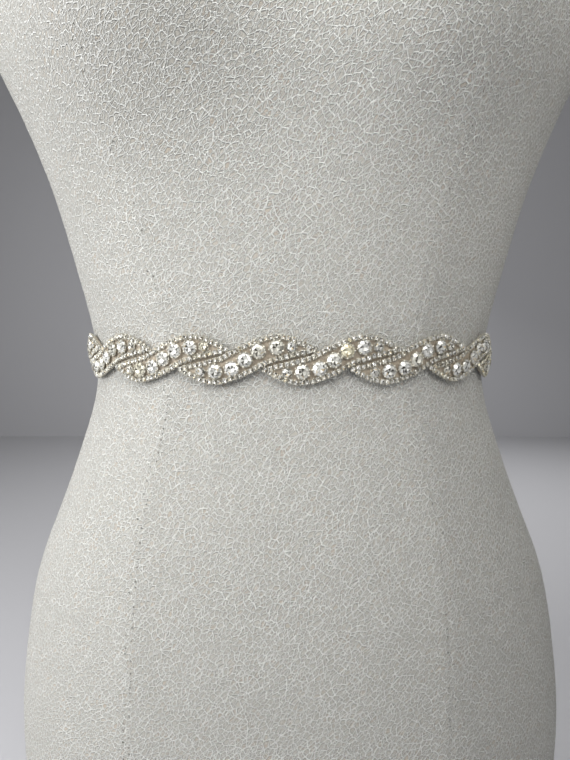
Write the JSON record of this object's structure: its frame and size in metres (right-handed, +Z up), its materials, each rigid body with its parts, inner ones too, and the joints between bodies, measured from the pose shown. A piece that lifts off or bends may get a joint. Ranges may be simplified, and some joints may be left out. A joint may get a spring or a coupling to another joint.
{
  "type": "bridal sash on a dress form",
  "caption": "Narrow crystal-trimmed bridal sash, a row of wavy beaded motifs on a thin band, fastened round the waist of a limbless dress form.",
  "frame": {"origin": "middle of the form's flat underside, which stands on the surface", "axes": "+Z up, -Y towards the front of the form, +X to the viewer's right from the front"},
  "size_m": [0.352, 0.267, 0.75],
  "materials": {
    "form_cover": "matt off-white woven cover with a raised crackle of fine threads",
    "sash_band": "smooth tan backing tape",
    "crystal_trim": "clear cut stones in bright silver cups and cup chain",
    "closure_metal": "plain bright metal"
  },
  "bodies": {
    "root": {"form_torso": "form_cover", "sash_band": "sash_band", "crystal_motif_01": "crystal_trim", "crystal_motif_02": "crystal_trim", "crystal_motif_03": "crystal_trim", "crystal_motif_04": "crystal_trim", "crystal_motif_05": "crystal_trim", "crystal_motif_06": "crystal_trim", "crystal_motif_07": "crystal_trim", "crystal_motif_08": "crystal_trim", "crystal_motif_09": "crystal_trim", "crystal_motif_10": "crystal_trim", "crystal_motif_11": "crystal_trim", "crystal_motif_12": "crystal_trim", "crystal_motif_13": "crystal_trim", "crystal_motif_14": "crystal_trim", "crystal_motif_15": "crystal_trim", "crystal_motif_16": "crystal_trim", "closure_hook": "closure_metal", "closure_eye": "closure_metal"}
  },
  "joints": []
}
